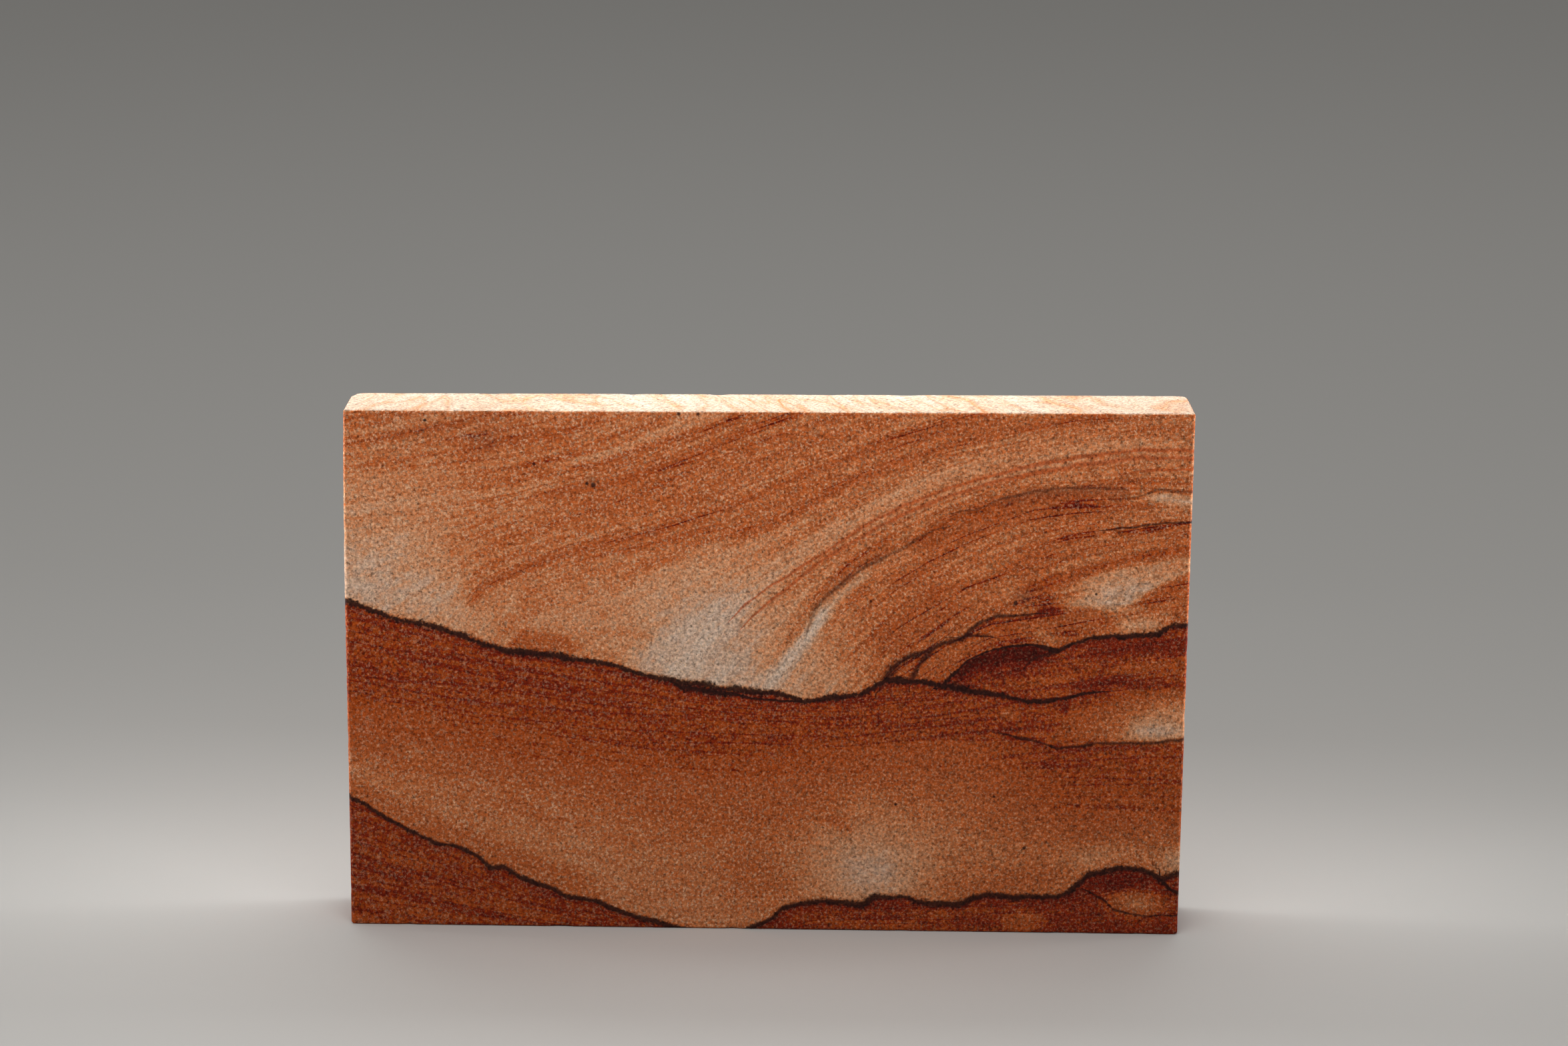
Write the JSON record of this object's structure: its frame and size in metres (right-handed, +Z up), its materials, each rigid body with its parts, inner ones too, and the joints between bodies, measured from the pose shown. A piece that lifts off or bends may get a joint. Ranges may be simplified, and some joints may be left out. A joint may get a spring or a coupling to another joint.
{
  "type": "landscape jasper slab",
  "caption": "Rectangular sawn slab of sandy landscape jasper with dark ridge lines and flowing iron bands, standing on its long narrow edge.",
  "frame": {"origin": "bottom centre: on the ground under the middle of the slab's box", "axes": "+X along the slab's length to the right of the picture face, +Z up, and the picture face looks along -Y"},
  "size_m": [0.1064, 0.0116, 0.0682],
  "materials": {
    "jasper": "matt, sawn and left unpolished, fine sandy grain"
  },
  "bodies": {
    "root": {"slab": "jasper"}
  },
  "joints": []
}
